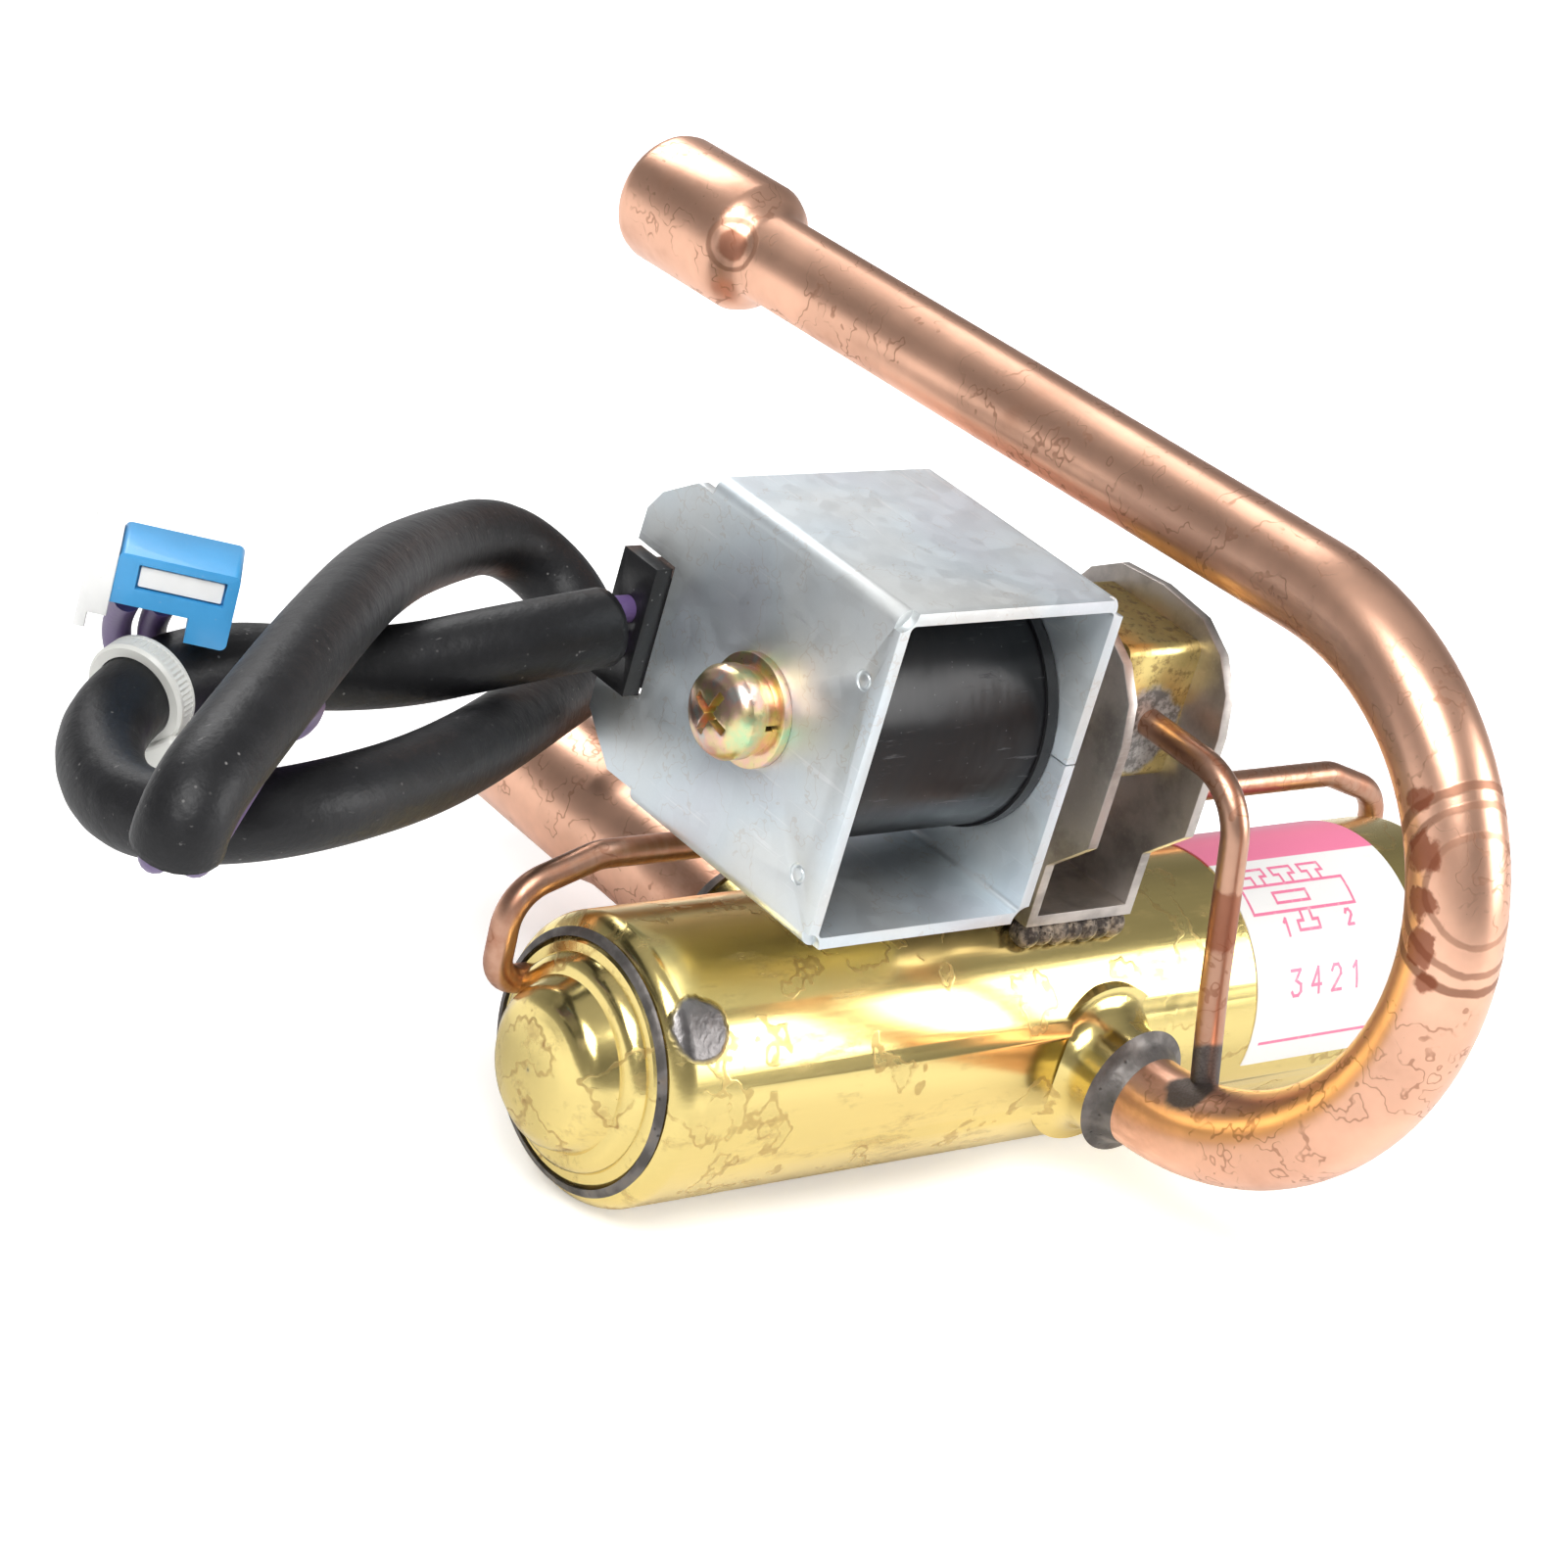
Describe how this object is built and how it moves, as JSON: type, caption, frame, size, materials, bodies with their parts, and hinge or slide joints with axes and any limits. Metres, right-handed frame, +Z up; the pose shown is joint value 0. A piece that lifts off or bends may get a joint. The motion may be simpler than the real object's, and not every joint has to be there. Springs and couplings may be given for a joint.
{
  "type": "four way reversing valve",
  "caption": "Heat pump reversing valve: brass barrel with domed ends, copper port tubes, pilot valve, solenoid coil in a folded frame, and a looped lead with plug.",
  "frame": {"origin": "on the barrel's axis, in line with the discharge port, midway between the end caps", "axes": "+X along the barrel away from the lead, +Y the way the three low side tubes leave, +Z up through the pilot valve and coil"},
  "size_m": [0.1897, 0.1303, 0.0751],
  "materials": {
    "barrel_brass": "polished yellow brass, flux stained",
    "braze_alloy": "dull dark grey braze",
    "copper_tube": "drawn copper, satin with oxide blotches",
    "seal_ptfe": "off-white filled PTFE",
    "slide_nylon": "moulded nylon",
    "steel_plate": "plain stamped steel",
    "stainless": "dull grey stainless",
    "weld": "dark porous weld",
    "pilot_brass": "cast brass with grey solder flow",
    "spring_steel": "spring steel",
    "magnet_copper": "enamelled copper wire",
    "zinc_steel": "clear zinc plated",
    "yellow_zinc": "yellow zinc plated",
    "black_plastic": "black moulded plastic",
    "black_film": "glossy black insulating film",
    "black_pvc": "soft black PVC sleeve",
    "purple_pvc": "purple wire insulation",
    "blue_nylon": "blue nylon connector",
    "white_nylon": "natural nylon",
    "tie_nylon": "translucent natural nylon",
    "paper_label": "printed label"
  },
  "bodies": {
    "valve": {"barrel": "barrel_brass", "end_cap_left": "barrel_brass", "end_cap_right": "barrel_brass", "cap_braze_left": "braze_alloy", "cap_braze_right": "braze_alloy", "port_tube_c": "copper_tube", "port_tube_s": "copper_tube", "port_tube_e": "copper_tube", "port_brazes": "braze_alloy", "discharge_braze": "braze_alloy", "discharge_tube": "copper_tube", "valve_seat": "barrel_brass", "pilot_bracket": "stainless", "weld_beads": "weld", "pilot_body": "pilot_brass", "pilot_seat": "pilot_brass", "guide_tube": "stainless", "fixed_core": "stainless", "shading_ring": "magnet_copper", "return_spring": "spring_steel", "capillary_left": "copper_tube", "capillary_right": "copper_tube", "capillary_middle": "copper_tube", "capillary_feed": "copper_tube", "coil_frame": "zinc_steel", "bobbin": "black_plastic", "winding": "magnet_copper", "coil_wrap": "black_film", "lead_block": "black_plastic", "stub_wires": "purple_pvc", "flat_washer": "yellow_zinc", "spring_washer": "yellow_zinc", "coil_screw": "yellow_zinc", "lead_sleeve": "black_pvc", "plug_wires": "purple_pvc", "cable_tie": "tie_nylon", "connector_housing": "blue_nylon", "connector_window": "white_nylon", "connector_retainer": "white_nylon", "label": "paper_label"},
    "main_slide": {"slide_block": "slide_nylon", "connecting_frame": "steel_plate", "piston_seal_left": "seal_ptfe", "piston_seal_right": "seal_ptfe", "piston_plate_left": "steel_plate", "piston_plate_right": "steel_plate", "piston_rivets": "steel_plate"},
    "pilot_plunger": {"plunger": "stainless", "slide_carrier": "steel_plate", "pilot_slide": "slide_nylon"}
  },
  "joints": [
    {"name": "main_slide_travel", "type": "slide", "parent": "valve", "child": "main_slide", "axis": [1, 0, 0], "range_m": [-0.0215, 0]},
    {"name": "pilot_travel", "type": "slide", "parent": "valve", "child": "pilot_plunger", "axis": [1, 0, 0], "range_m": [-0.0024, 0], "stiffness_N_per_m": 300, "springref_m": 0.003, "deforming": ["return_spring"]}
  ]
}
